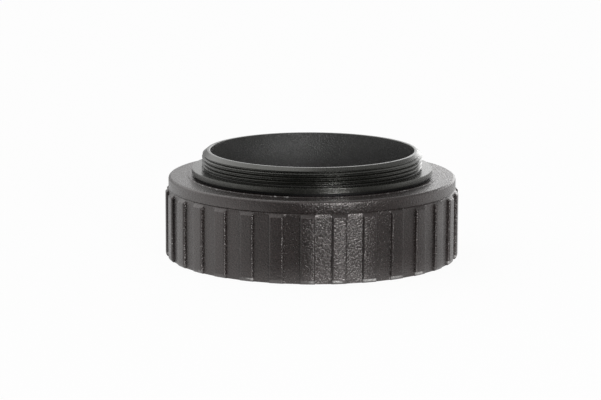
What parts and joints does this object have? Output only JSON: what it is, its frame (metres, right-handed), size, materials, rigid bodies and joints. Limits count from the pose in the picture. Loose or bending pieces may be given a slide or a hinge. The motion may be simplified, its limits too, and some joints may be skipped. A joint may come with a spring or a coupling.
{
  "type": "rotating telescope adapter",
  "caption": "Ribbed coupling ring for a telescope's rear cell with a threaded camera nose that turns freely in it.",
  "frame": {"origin": "centre of the grip ring's bottom face, on the optical axis", "axes": "+Z along the optical axis, from the telescope towards the camera; -Y is the side that the picture shows in front"},
  "size_m": [0.056, 0.056, 0.0202],
  "materials": {
    "ring_anodising": "bead-blasted, black anodised, faint plum tinge",
    "body_anodising": "turned, black anodised, satin",
    "washer_plastic": "smooth, matte"
  },
  "bodies": {
    "coupling": {"grip_ring": "ring_anodising"},
    "rotor": {"threaded_body": "body_anodising", "upper_glide_washer": "washer_plastic", "lower_glide_washer": "washer_plastic", "retaining_ring": "body_anodising"}
  },
  "joints": [
    {"name": "camera_rotation", "type": "hinge", "parent": "coupling", "child": "rotor", "pos_m": [0, 0, 0.0135], "axis": [0, 0, 1], "continuous": true}
  ]
}
